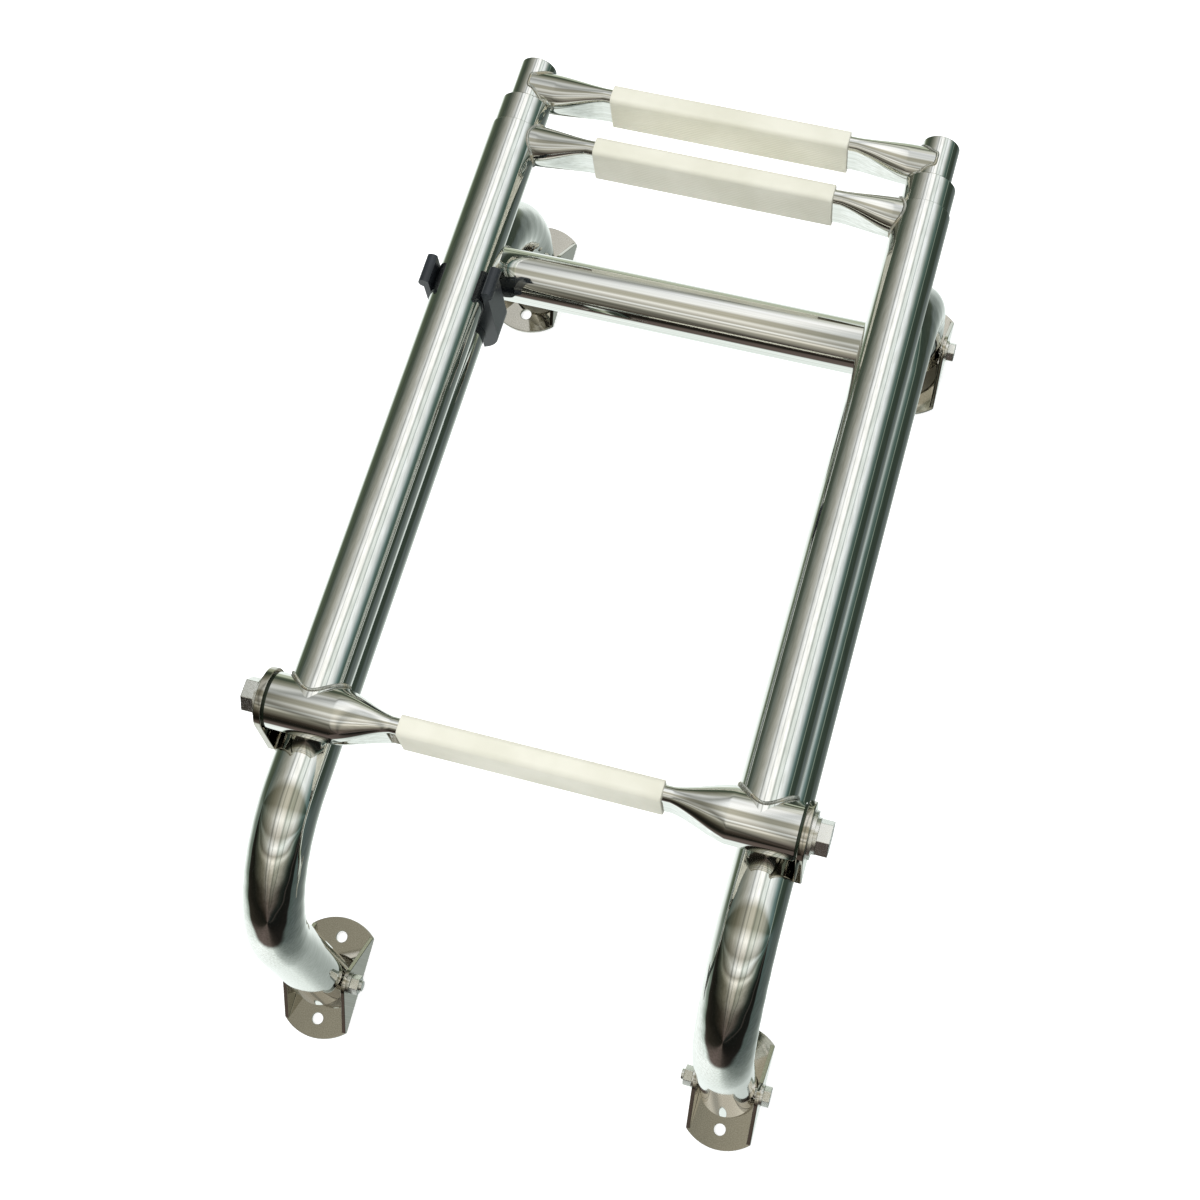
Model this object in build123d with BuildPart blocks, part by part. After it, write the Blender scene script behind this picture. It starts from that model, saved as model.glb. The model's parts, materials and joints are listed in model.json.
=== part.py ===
"""Stainless telescoping boarding ladder, folded and retracted on its stand-off frame.

Row frame: X across the ladder, +Y from the hinge towards the far end, +Z away from the
mounting surface, which is Z = 0. The origin is at the middle of the foot print.
The ladder itself leans on its own plane: y runs along the ladder from the hinge axis and
h stands square to it, so a point of the ladder is written (x, y, h).
"""
import os
from math import cos, radians, sin, tan

from build123d import *

# ---------------------------------------------------------------- driving dimensions, mm
LEAN = 8.0  # angle between the ladder and the mounting surface, degrees
TUBE_SPACING = 300.0  # between the centres of the two side tubes

SIDE_OD = 38.1  # 1 1/2 in side tubes and hinge rung
INNER_OD = 26.9  # 3/4 in pipe size, telescoping tubes
RUNG_OD = 28.6  # 1 1/8 in second and third rungs
BASE_OD = 41.3  # 1 5/8 in bent base tubes
WALL = 1.6

RUNG_2_Y = 449.0
RUNG_3_Y = 494.5
ROUND_HALF = 129.0  # rungs are round outside this distance from the middle
FLAT_HALF = 94.0  # and flattened inside this one
FLAT_THICKNESS = 11.5
FLAT_HEIGHT = 31.5
TREAD_LENGTH = 175.0
TREAD_THICKNESS = 15.0
TREAD_HEIGHT = 34.8
TREAD_CORNER = 4.0
TREAD_CLEARANCE = 0.15
BORE_OVERRUN = 1.0  # the bore cuts cleanly through both rung ends

INNER_BOTTOM_Y = 70.0
INNER_TOP_Y = 512.0
CAP_THICKNESS = 2.0
CAP_SPIGOT = 12.0
CAP_ROUND = 1.0
COLLAR_BOTTOM_Y = 456.0
COLLAR_TOP_Y = 480.0
COLLAR_OD = 36.0
COLLAR_CHAMFER = 1.2
GUIDE_LENGTH = 34.0
PISTON_LENGTH = 26.0
SPIGOT_LENGTH = 24.0
PISTON_CLEARANCE = 0.3
SLIDE_CLEARANCE = 0.08
COLLAR_CLEARANCE = 0.4

BASE_X = 156.5
BASE_DROP = 41.5  # ladder plane down to the base tube's straight run
LOWER_BEND_RADIUS = 88.0
UPPER_BEND_RADIUS = 100.0
LOWER_LEG_Y = -128.5
UPPER_LEG_Y = 446.5
LOWER_PIVOT_DROP = 244.5
LEG_END = 10.0  # tube beyond the pivot bolt
LEG_PLUG_INSIDE = 14.0  # plug on the other side of the bolt
CROSS_TUBE_Y = 365.0
CROSS_TUBE_OD = 38.1

PIVOT_HEIGHT = 33.5
PLATE_THICKNESS = 3.0
CHANNEL_WIDTH = 42.6
PLATE_LENGTH = 92.0
PLATE_END_RISE = 9.5  # how far the rounded end stands out of its corners
CHEEK_RADIUS = 11.5
CHEEK_SLOPE = 38.5  # where the sloping edges meet the round, degrees above the bolt
CHEEK_STEP = 1.0  # where the slopes start above the plate
CHEEK_FIT = 0.02
MOUNT_HOLE_SPACING = 63.0
MOUNT_HOLE_D = 8.6

PIVOT_BOLT_D = 8.0
PIVOT_HEX = 13.0
PIVOT_HEAD = 5.5
PIVOT_NUT = 6.5
PIVOT_TIP = 2.0  # bolt beyond its nut
PIVOT_WASHER_D = 16.0
PIVOT_WASHER = 1.6
RUNNING_CLEARANCE = 0.06

HINGE_BOLT_D = 14.0
HINGE_HEX = 21.0
HINGE_HEAD = 8.5
HINGE_WASHER_D = 32.0
SPRING_WASHER_D = 24.0
HINGE_WASHER = 2.2
WASHER_SEAM = 0.05  # keeps two stacked washers apart
EAR_THICKNESS = 5.0
EAR_RADIUS = 21.0
EAR_FOOT_HALF = 23.0
EAR_FOOT_DROP = 38.0
BUSH_FLANGE_D = 36.0
BUSH_FLANGE = 1.8
BUSH_SLEEVE_D = 17.4
HINGE_PLUG_LENGTH = 30.0
HINGE_TIP_GAP = 4.0  # the bolt ends this far short of the plug's inner face
FACE_GAP = 0.15  # between faces that turn against each other

CLIP_Y = 325.0
CLIP_WIDTH = 22.0
CLIP_WALL = 4.4
CLIP_GAP = 0.35
CLIP_TIP_H = 15.0
CLIP_BULB_R = 4.4
CLIP_BULB_OUT = 1.2
CLIP_BULB_DROP = 3.0
CLIP_SEAT_GAP = 0.1
CLIP_MOUTH = 34.0  # opening under the base tube

# ---------------------------------------------------------------- derived places
SIDE_X = TUBE_SPACING / 2
SIDE_R = SIDE_OD / 2
SIDE_BORE_R = SIDE_R - WALL
INNER_R = INNER_OD / 2
INNER_BORE_R = INNER_R - WALL
BASE_R = BASE_OD / 2
EAR_INNER_X = BASE_X + BASE_R  # the ears stand on the outer sides of the base tubes
HINGE_RUNG_HALF = EAR_INNER_X - BUSH_FLANGE
HINGE_WASHER_X = EAR_INNER_X + EAR_THICKNESS + FACE_GAP
HINGE_HEAD_X = HINGE_WASHER_X + 2 * HINGE_WASHER + WASHER_SEAM
LEAN_RAD = radians(LEAN)
UPPER_PIVOT_DROP = LOWER_PIVOT_DROP - (UPPER_LEG_Y - LOWER_LEG_Y) * tan(LEAN_RAD)
HINGE_Z = PIVOT_HEIGHT + LOWER_LEG_Y * sin(LEAN_RAD) + LOWER_PIVOT_DROP * cos(LEAN_RAD)
LOW_END = LOWER_LEG_Y * cos(LEAN_RAD) - LOWER_PIVOT_DROP * sin(LEAN_RAD) - PLATE_LENGTH / 2
HIGH_END = (INNER_TOP_Y + CAP_THICKNESS) * cos(LEAN_RAD) + (INNER_R - CAP_ROUND) * sin(LEAN_RAD)
HINGE_Y = -(LOW_END + HIGH_END) / 2
LADDER = Plane(
    origin=(0, HINGE_Y, HINGE_Z),
    x_dir=(1, 0, 0),
    z_dir=(0, sin(LEAN_RAD), cos(LEAN_RAD)),
)
GUIDE_BOTTOM_Y = COLLAR_BOTTOM_Y - GUIDE_LENGTH
PIVOTS = {"lower": (LOWER_LEG_Y, LOWER_PIVOT_DROP), "upper": (UPPER_LEG_Y, UPPER_PIVOT_DROP)}
SIDES = {"left": -1, "right": 1}


def side_plane(x, y=0.0, h=0.0):
    """Plane square to X: its own x runs along the ladder and its own y stands up from it."""
    return Plane(
        origin=LADDER.from_local_coords((x, y, h)), x_dir=LADDER.y_dir, z_dir=(1, 0, 0)
    )


def end_plane(x, y, h=0.0):
    """Plane square to the ladder at y: its normal points to the far end."""
    return Plane(
        origin=LADDER.from_local_coords((x, y, h)), x_dir=(1, 0, 0), z_dir=LADDER.y_dir
    )


def save(part, label):
    """Name the piece and write its STEP file."""
    part.label = label
    export_step(part, f"parts/{label}.step")


def cut_disc(plane, radius, depth):
    """Drill from the plane by depth, which may be negative."""
    with BuildSketch(plane) as disc:
        Circle(radius)
    extrude(disc.sketch, amount=depth, mode=Mode.SUBTRACT)


def add_disc(plane, radius, depth, bore=0.0):
    """Add a disc, or a ring where a bore is given, that grows from the plane."""
    with BuildSketch(plane) as disc:
        Circle(radius)
        if bore:
            Circle(bore, mode=Mode.SUBTRACT)
    extrude(disc.sketch, amount=depth)


def add_hex(plane, across_flats, depth, bore=0.0):
    """Add a hexagon that grows from the plane."""
    with BuildSketch(plane) as hexagon:
        RegularPolygon(across_flats / 2, 6, major_radius=False)
        if bore:
            Circle(bore, mode=Mode.SUBTRACT)
    extrude(hexagon.sketch, amount=depth)


# ---------------------------------------------------------------- base frame
def base_run(x, radius):
    """Solid rod along the lower leg, the straight run and the upper leg."""
    with BuildPart() as rod:
        with BuildLine(side_plane(x)) as path:
            FilletPolyline(
                (LOWER_LEG_Y, -LOWER_PIVOT_DROP - LEG_END),
                (LOWER_LEG_Y, -BASE_DROP),
                (UPPER_LEG_Y, -BASE_DROP),
                (UPPER_LEG_Y, -UPPER_PIVOT_DROP - LEG_END),
                radius=(LOWER_BEND_RADIUS, UPPER_BEND_RADIUS),
            )
        with BuildSketch(Plane(path.line ^ 0)):
            Circle(radius)
        sweep()
    return rod.part


def base_tube(side):
    """One bent tube: lower leg, straight run and upper leg, drilled for its two bolts."""
    x = SIDES[side] * BASE_X
    with BuildPart() as tube:
        add(base_run(x, BASE_R))
        add(base_run(x, BASE_R - WALL), mode=Mode.SUBTRACT)
        for y, drop in PIVOTS.values():
            plane = side_plane(x - BASE_R, y, -drop)
            cut_disc(plane, PIVOT_BOLT_D / 2 + RUNNING_CLEARANCE, BASE_OD)
    save(tube.part, f"base_tube_{side}")


def leg_plug(side, level):
    """Nylon plug in the end of a leg, which keeps the bolt from crushing the tube."""
    x = SIDES[side] * BASE_X
    y, drop = PIVOTS[level]
    end = Plane(LADDER.from_local_coords((x, y, -drop - LEG_END)), (1, 0, 0), LADDER.z_dir)
    with BuildPart() as plug:
        add_disc(end, BASE_R - WALL, LEG_END + LEG_PLUG_INSIDE)
        plane = side_plane(x - BASE_R, y, -drop)
        cut_disc(plane, PIVOT_BOLT_D / 2 + RUNNING_CLEARANCE, BASE_OD)
    save(plug.part, f"leg_plug_{level}_{side}")


def base_cross_tube():
    """Tube between the two base tubes, its ends coped to fit round them."""
    with BuildPart() as tube:
        add_disc(
            side_plane(-BASE_X, CROSS_TUBE_Y, -BASE_DROP),
            CROSS_TUBE_OD / 2,
            2 * BASE_X,
            CROSS_TUBE_OD / 2 - WALL,
        )
        for x in (-BASE_X, BASE_X):
            add(base_run(x, BASE_R), mode=Mode.SUBTRACT)
    save(tube.part, "base_cross_tube")


def hinge_ear(side):
    """Pear-shaped plate that stands on the outer side of a base tube."""
    sign = SIDES[side]
    with BuildPart() as ear:
        with BuildSketch(side_plane(sign * EAR_INNER_X)):
            Circle(EAR_RADIUS)
            with BuildLine():
                Polyline(
                    (-EAR_RADIUS, 0),
                    (-EAR_FOOT_HALF, -EAR_FOOT_DROP),
                    (EAR_FOOT_HALF, -EAR_FOOT_DROP),
                    (EAR_RADIUS, 0),
                    close=True,
                )
            make_face()
            Circle(BUSH_SLEEVE_D / 2, mode=Mode.SUBTRACT)
        extrude(amount=sign * EAR_THICKNESS)
    save(ear.part, f"hinge_ear_{side}")


def hinge_bush(side):
    """Flanged nylon bush: its flange is the washer between the rung and the ear."""
    sign = SIDES[side]
    rung_end = sign * (HINGE_RUNG_HALF + FACE_GAP)
    bore = HINGE_BOLT_D / 2 + RUNNING_CLEARANCE
    with BuildPart() as bush:
        flange = sign * (BUSH_FLANGE - FACE_GAP)
        add_disc(side_plane(rung_end), BUSH_FLANGE_D / 2, flange, bore)
        sleeve = flange + sign * EAR_THICKNESS
        add_disc(side_plane(rung_end), BUSH_SLEEVE_D / 2, sleeve, bore)
    save(bush.part, f"hinge_bush_{side}")


def tube_clip():
    """Snap clip on the left base tube, with two prongs that hold the side tube."""
    base = (-BASE_X, -BASE_DROP)
    slot_r = SIDE_R + CLIP_GAP
    prong_x = slot_r + CLIP_WALL / 2
    plane = Plane(
        LADDER.from_local_coords((0, CLIP_Y + CLIP_WIDTH / 2, 0)), (1, 0, 0), -LADDER.y_dir
    )
    with BuildPart() as clip:
        with BuildSketch(plane):
            with Locations(base):
                Circle(BASE_R + CLIP_WALL)
            with Locations((-SIDE_X, -BASE_DROP)):
                Circle(slot_r + CLIP_WALL)
            with Locations((-SIDE_X, -BASE_DROP / 2)):
                Rectangle(2 * (slot_r + CLIP_WALL), BASE_DROP)
            for sign in (-1, 1):
                with Locations((-SIDE_X + sign * prong_x, CLIP_TIP_H / 2)):
                    Rectangle(CLIP_WALL, CLIP_TIP_H)
                with Locations((-SIDE_X + sign * (prong_x + CLIP_BULB_OUT), CLIP_TIP_H - CLIP_BULB_DROP)):
                    Circle(CLIP_BULB_R)
            with Locations((-SIDE_X, 0)):
                Circle(slot_r, mode=Mode.SUBTRACT)
            with Locations((-SIDE_X, CLIP_TIP_H)):
                Rectangle(2 * slot_r, 2 * CLIP_TIP_H, mode=Mode.SUBTRACT)
            with Locations(base):
                Circle(BASE_R + CLIP_SEAT_GAP, mode=Mode.SUBTRACT)
            with Locations((base[0], base[1] - BASE_R)):
                Rectangle(CLIP_MOUTH, BASE_R, mode=Mode.SUBTRACT)
        extrude(amount=CLIP_WIDTH)
    save(clip.part, "tube_clip")


# ---------------------------------------------------------------- rungs and treads
def flattened(width, height):
    """Section of a rung pressed flat: two flats joined by half rounds."""
    SlotOverall(height, width, rotation=90)


def rung_solid(y, radius, half_length, shrink):
    """Outside of a rung, or its bore when shrink is the wall thickness."""
    thickness = FLAT_THICKNESS - 2 * shrink
    height = FLAT_HEIGHT - 2 * shrink
    for sign in (-1, 1):
        with BuildSketch(side_plane(sign * ROUND_HALF, y)) as round_end:
            Circle(radius - shrink)
        extrude(round_end.sketch, amount=sign * (half_length - ROUND_HALF))
        with BuildSketch(side_plane(sign * FLAT_HALF, y)) as flat_end:
            flattened(thickness, height)
        loft([round_end.sketch, flat_end.sketch])
    with BuildSketch(side_plane(-FLAT_HALF, y)) as middle:
        flattened(thickness, height)
    extrude(middle.sketch, amount=2 * FLAT_HALF)


def rung(label, y, radius, half_length, side_radius=0.0):
    """A rung pressed flat under its tread, coped to the side tubes where side_radius is given."""
    with BuildPart() as bore:
        rung_solid(y, radius, half_length + BORE_OVERRUN, WALL)
    with BuildPart() as body:
        rung_solid(y, radius, half_length, 0.0)
        add(bore.part, mode=Mode.SUBTRACT)
        if side_radius:
            for x in (-SIDE_X, SIDE_X):
                cut_disc(end_plane(x, y - SIDE_OD), side_radius, 2 * SIDE_OD)
    save(body.part, label)


def tread(label, y):
    """Moulded sleeve that covers the flattened middle of a rung."""
    with BuildPart() as sleeve:
        with BuildSketch(side_plane(-TREAD_LENGTH / 2, y)):
            RectangleRounded(TREAD_THICKNESS, TREAD_HEIGHT, TREAD_CORNER)
            with BuildSketch(mode=Mode.SUBTRACT):
                flattened(FLAT_THICKNESS + 2 * TREAD_CLEARANCE, FLAT_HEIGHT + 2 * TREAD_CLEARANCE)
        extrude(amount=TREAD_LENGTH)
    save(sleeve.part, label)


# ---------------------------------------------------------------- outer section
def outer_tube(side):
    """Side tube, coped on to the hinge rung."""
    x = SIDES[side] * SIDE_X
    with BuildPart() as tube:
        add_disc(end_plane(x, 0), SIDE_R, COLLAR_BOTTOM_Y, SIDE_BORE_R)
        cut_disc(side_plane(x - SIDE_OD), SIDE_R, 2 * SIDE_OD)
    save(tube.part, f"outer_tube_{side}")


def guide_collar(side):
    """Sleeve welded on the end of a side tube, which closes down round the sliding tube."""
    x = SIDES[side] * SIDE_X
    with BuildPart() as collar:
        add_disc(
            end_plane(x, COLLAR_BOTTOM_Y),
            COLLAR_OD / 2,
            COLLAR_TOP_Y - COLLAR_BOTTOM_Y,
            INNER_R + COLLAR_CLEARANCE,
        )
        top = collar.faces().sort_by(Axis(LADDER.origin, LADDER.y_dir))[-1]
        chamfer(top.outer_wire().edges(), COLLAR_CHAMFER)
    save(collar.part, f"guide_collar_{side}")


def guide_bush(side):
    """Nylon bush in the mouth of a side tube, in which the inner tube slides."""
    x = SIDES[side] * SIDE_X
    with BuildPart() as bush:
        add_disc(
            end_plane(x, GUIDE_BOTTOM_Y), SIDE_BORE_R, GUIDE_LENGTH, INNER_R + SLIDE_CLEARANCE
        )
    save(bush.part, f"guide_bush_{side}")


def hinge_plug(side):
    """Threaded plug in the end of the hinge rung."""
    sign = SIDES[side]
    with BuildPart() as plug:
        start = side_plane(sign * HINGE_RUNG_HALF)
        add_disc(start, SIDE_BORE_R, -sign * HINGE_PLUG_LENGTH, HINGE_BOLT_D / 2)
    save(plug.part, f"hinge_plug_{side}")


def hinge_bolt(side):
    """Hexagon bolt on the hinge axis, screwed into the plug, with a flat and a spring washer."""
    sign = SIDES[side]
    with BuildPart() as bolt:
        add_hex(side_plane(sign * HINGE_HEAD_X), HINGE_HEX, sign * HINGE_HEAD)
        shank = HINGE_HEAD_X - HINGE_RUNG_HALF + HINGE_PLUG_LENGTH - HINGE_TIP_GAP
        add_disc(side_plane(sign * HINGE_HEAD_X), HINGE_BOLT_D / 2, -sign * shank)
    save(bolt.part, f"hinge_bolt_{side}")
    with BuildPart() as washers:
        for index, diameter in enumerate((HINGE_WASHER_D, SPRING_WASHER_D)):
            seat = HINGE_WASHER_X + index * (HINGE_WASHER + WASHER_SEAM)
            plane = side_plane(sign * seat)
            add_disc(plane, diameter / 2, sign * HINGE_WASHER, HINGE_BOLT_D / 2)
    save(washers.part, f"hinge_washers_{side}")


# ---------------------------------------------------------------- inner section
def inner_tube(side):
    """Sliding tube that carries the last rung."""
    x = SIDES[side] * SIDE_X
    with BuildPart() as tube:
        add_disc(
            end_plane(x, INNER_BOTTOM_Y), INNER_R, INNER_TOP_Y - INNER_BOTTOM_Y, INNER_BORE_R
        )
    save(tube.part, f"inner_tube_{side}")


def end_cap(side):
    """Plug that closes the free end of a sliding tube."""
    x = SIDES[side] * SIDE_X
    with BuildPart() as cap:
        add_disc(end_plane(x, INNER_TOP_Y - CAP_SPIGOT), INNER_BORE_R, CAP_SPIGOT)
        add_disc(end_plane(x, INNER_TOP_Y), INNER_R, CAP_THICKNESS)
        fillet(cap.faces().sort_by(Axis(LADDER.origin, LADDER.y_dir))[-1].edges(), CAP_ROUND)
    save(cap.part, f"end_cap_{side}")


def slide_piston(side):
    """Nylon piston on the hidden end of a sliding tube, stopped by the guide bush."""
    x = SIDES[side] * SIDE_X
    with BuildPart() as piston:
        add_disc(end_plane(x, INNER_BOTTOM_Y), SIDE_BORE_R - PISTON_CLEARANCE, -PISTON_LENGTH)
        add_disc(end_plane(x, INNER_BOTTOM_Y), INNER_BORE_R, SPIGOT_LENGTH)
    save(piston.part, f"slide_piston_{side}")


# ---------------------------------------------------------------- mounting brackets
def bracket(side, level):
    """Channel bracket with rounded ends, cheeks that rise to the bolt, and two screw holes."""
    sign = SIDES[side]
    y, drop = PIVOTS[level]
    centre = LADDER.from_local_coords((sign * BASE_X, y, -drop))
    half_width = CHANNEL_WIDTH / 2 + PLATE_THICKNESS
    corner_y = PLATE_LENGTH / 2 - PLATE_END_RISE
    slope_y = CHEEK_RADIUS * cos(radians(CHEEK_SLOPE))
    slope_z = PIVOT_HEIGHT + CHEEK_RADIUS * sin(radians(CHEEK_SLOPE))
    foot = Plane((centre.X, centre.Y, 0))
    with BuildPart() as body:
        with BuildSketch(foot):
            with BuildLine():
                Line((-half_width, -corner_y), (-half_width, corner_y))
                ThreePointArc(
                    (-half_width, corner_y), (0, PLATE_LENGTH / 2), (half_width, corner_y)
                )
                Line((half_width, corner_y), (half_width, -corner_y))
                ThreePointArc(
                    (half_width, -corner_y), (0, -PLATE_LENGTH / 2), (-half_width, -corner_y)
                )
            make_face()
            with GridLocations(0, MOUNT_HOLE_SPACING, 1, 2):
                Circle(MOUNT_HOLE_D / 2, mode=Mode.SUBTRACT)
        extrude(amount=PLATE_THICKNESS)
        for cheek in (-1, 1):
            wall = Plane(
                (centre.X + cheek * CHANNEL_WIDTH / 2, centre.Y, 0), (0, 1, 0), (1, 0, 0)
            )
            with BuildSketch(wall):
                with BuildLine():
                    Polyline(
                        (-corner_y, 0.0),
                        (-corner_y, PLATE_THICKNESS + CHEEK_STEP),
                        (-slope_y, slope_z),
                        (slope_y, slope_z),
                        (corner_y, PLATE_THICKNESS + CHEEK_STEP),
                        (corner_y, 0.0),
                        close=True,
                    )
                make_face()
                with Locations((0, PIVOT_HEIGHT)):
                    Circle(CHEEK_RADIUS)
                    Circle(PIVOT_BOLT_D / 2 + CHEEK_FIT, mode=Mode.SUBTRACT)
            extrude(amount=cheek * PLATE_THICKNESS)
    save(body.part, f"bracket_{level}_{side}")
    pivot_hardware(side, level, centre, half_width)


def pivot_hardware(side, level, centre, half_width):
    """Bolt with its head outboard, nut inboard and a washer under each."""
    sign = SIDES[side]
    outer_x = centre.X + sign * half_width
    inner_x = centre.X - sign * half_width

    def across(x):
        """Plane square to X at x, centred on the bolt."""
        return Plane((x, centre.Y, centre.Z), (0, 1, 0), (1, 0, 0))

    with BuildPart() as washers:
        add_disc(across(outer_x), PIVOT_WASHER_D / 2, sign * PIVOT_WASHER, PIVOT_BOLT_D / 2)
        add_disc(across(inner_x), PIVOT_WASHER_D / 2, -sign * PIVOT_WASHER, PIVOT_BOLT_D / 2)
    save(washers.part, f"pivot_washers_{level}_{side}")
    with BuildPart() as bolt:
        head = outer_x + sign * PIVOT_WASHER
        add_hex(across(head), PIVOT_HEX, sign * PIVOT_HEAD)
        shank = 2 * half_width + 2 * PIVOT_WASHER + PIVOT_NUT + PIVOT_TIP
        add_disc(across(head), PIVOT_BOLT_D / 2, -sign * shank)
    save(bolt.part, f"pivot_bolt_{level}_{side}")
    with BuildPart() as nut:
        seat = inner_x - sign * PIVOT_WASHER
        add_hex(across(seat), PIVOT_HEX, -sign * PIVOT_NUT, PIVOT_BOLT_D / 2)
    save(nut.part, f"pivot_nut_{level}_{side}")


os.makedirs("parts", exist_ok=True)
base_cross_tube()
tube_clip()
rung("hinge_rung", 0.0, SIDE_R, HINGE_RUNG_HALF)
rung("rung_2", RUNG_2_Y, RUNG_OD / 2, SIDE_X, SIDE_R)
rung("rung_3", RUNG_3_Y, RUNG_OD / 2, SIDE_X, INNER_R)
tread("tread_1", 0.0)
tread("tread_2", RUNG_2_Y)
tread("tread_3", RUNG_3_Y)
for side in SIDES:
    base_tube(side)
    hinge_ear(side)
    hinge_bush(side)
    outer_tube(side)
    guide_collar(side)
    guide_bush(side)
    hinge_plug(side)
    hinge_bolt(side)
    inner_tube(side)
    end_cap(side)
    slide_piston(side)
    for level in PIVOTS:
        leg_plug(side, level)
        bracket(side, level)
print("hinge axis y, z:", round(HINGE_Y, 3), round(HINGE_Z, 3))
for level, (y, drop) in PIVOTS.items():
    centre = LADDER.from_local_coords((BASE_X, y, -drop))
    print(level, "pivot:", round(centre.X, 3), round(centre.Y, 3), round(centre.Z, 3))
print("slide travel:", GUIDE_BOTTOM_Y - INNER_BOTTOM_Y)
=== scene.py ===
"""Looks for a folded and retracted stainless boarding ladder on its stand-off frame.

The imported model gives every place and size. Side tubes, collars, caps and washers keep
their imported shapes. Bent tubes, rungs, treads and weld beads are made here, and plates,
bolts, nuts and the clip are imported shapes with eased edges.
"""
import json
import logging
from dataclasses import dataclass, field
from enum import Enum
from math import atan2, cos, pi, radians, sin, sqrt

import bmesh
import bpy
from bpy.types import Material, Node, NodeSocket, NodeTree, Object
from mathutils import Euler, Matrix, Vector


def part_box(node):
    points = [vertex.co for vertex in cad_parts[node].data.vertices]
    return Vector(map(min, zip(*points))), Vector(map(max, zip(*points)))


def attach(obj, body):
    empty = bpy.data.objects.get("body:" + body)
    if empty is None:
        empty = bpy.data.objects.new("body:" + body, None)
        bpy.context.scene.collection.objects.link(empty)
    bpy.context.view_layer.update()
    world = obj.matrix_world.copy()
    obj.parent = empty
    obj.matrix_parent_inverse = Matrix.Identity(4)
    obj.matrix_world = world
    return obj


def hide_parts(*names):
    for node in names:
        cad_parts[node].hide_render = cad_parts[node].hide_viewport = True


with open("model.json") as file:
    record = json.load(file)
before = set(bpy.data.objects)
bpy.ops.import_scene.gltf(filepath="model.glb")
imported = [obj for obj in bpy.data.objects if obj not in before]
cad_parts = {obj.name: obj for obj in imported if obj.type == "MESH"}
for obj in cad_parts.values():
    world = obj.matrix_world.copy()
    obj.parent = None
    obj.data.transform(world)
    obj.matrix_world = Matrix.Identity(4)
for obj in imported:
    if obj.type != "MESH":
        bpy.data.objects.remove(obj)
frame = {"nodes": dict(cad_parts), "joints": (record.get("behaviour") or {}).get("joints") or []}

MM = 0.001
MERGE_MM = 0.002
SAME_PLANE_DEG = 0.6
ROUNDED_FROM_DEG = 38
FLAT_FACE_WEIGHT = 100
LOG = logging.getLogger("boarding_ladder")
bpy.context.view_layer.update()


@dataclass(frozen=True)
class TubeSizes:
    """Driving sizes of the tubework, in millimetres across, along and above the ladder."""

    base_x: float = 156.5
    base_radius: float = 20.65
    base_drop: float = 41.5
    side_x: float = 150.0
    side_radius: float = 19.05
    inner_radius: float = 13.45
    rung_radius: float = 14.3
    hinge_rung_half: float = 175.35
    rung_2_y: float = 449.0
    rung_3_y: float = 494.5
    wall: float = 1.6


TUBES = TubeSizes()


# ---- shared helpers
def linear(code: str) -> tuple[float, float, float, float]:
    """Turn an sRGB hex colour into linear red, green, blue and alpha.

    Args:
        code: Six hex digits, such as "CFCBC2".

    Returns:
        The linear colour with alpha 1.
    """
    channels = [int(code[i : i + 2], 16) / 255 for i in (0, 2, 4)]
    values = [c / 12.92 if c <= 0.04045 else ((c + 0.055) / 1.055) ** 2.4 for c in channels]
    return values[0], values[1], values[2], 1.0


def add_node(
    tree: NodeTree, kind: str, settings: dict | None = None, links: dict | None = None
) -> Node:
    """Add one node to a tree with its settings and incoming links.

    Args:
        tree: The node tree that gets the node.
        kind: The node's type name.
        settings: Attribute names or input names, with their values.
        links: Input names or indices, with the output sockets that feed them.

    Returns:
        The new node.
    """
    node = tree.nodes.new(kind)
    for key, value in (settings or {}).items():
        if isinstance(key, int) or key in node.inputs:
            node.inputs[key].default_value = value
        else:
            setattr(node, key, value)
    for key, source in (links or {}).items():
        tree.links.new(source, node.inputs[key])
    return node


def add_ramp(tree: NodeTree, factor: NodeSocket, stops: list[tuple[float, str]]) -> Node:
    """Add a colour ramp.

    Args:
        tree: The node tree that gets it.
        factor: The value that it colours.
        stops: Positions from 0 to 1 with sRGB hex colours, in order.

    Returns:
        The ramp node.
    """
    node = add_node(tree, "ShaderNodeValToRGB", None, {"Fac": factor})
    ramp = node.color_ramp
    while len(ramp.elements) > 1:
        ramp.elements.remove(ramp.elements[-1])
    ramp.elements[0].position = stops[0][0]
    ramp.elements[0].color = linear(stops[0][1])
    for position, code in stops[1:]:
        ramp.elements.new(position).color = linear(code)
    return node


def mesh_piece(
    name: str, points: list[Vector], faces: list[tuple[int, ...]], sharp_deg: float = 40.0
) -> Object:
    """Make a smooth-shaded mesh object at the origin.

    Args:
        name: The piece's name.
        points: Vertex places in metres.
        faces: Vertex indices of each face.
        sharp_deg: Edges that bend more than this stay sharp.

    Returns:
        The linked object, with its faces pointing outwards.
    """
    mesh = bpy.data.meshes.new(name)
    mesh.from_pydata([tuple(p) for p in points], [], faces)
    shape = bmesh.new()
    shape.from_mesh(mesh)
    bmesh.ops.recalc_face_normals(shape, faces=shape.faces)
    shape.to_mesh(mesh)
    shape.free()
    mesh.shade_smooth()
    mesh.set_sharp_from_angle(angle=radians(sharp_deg))
    piece = bpy.data.objects.new(name, mesh)
    bpy.context.scene.collection.objects.link(piece)
    return piece


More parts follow.
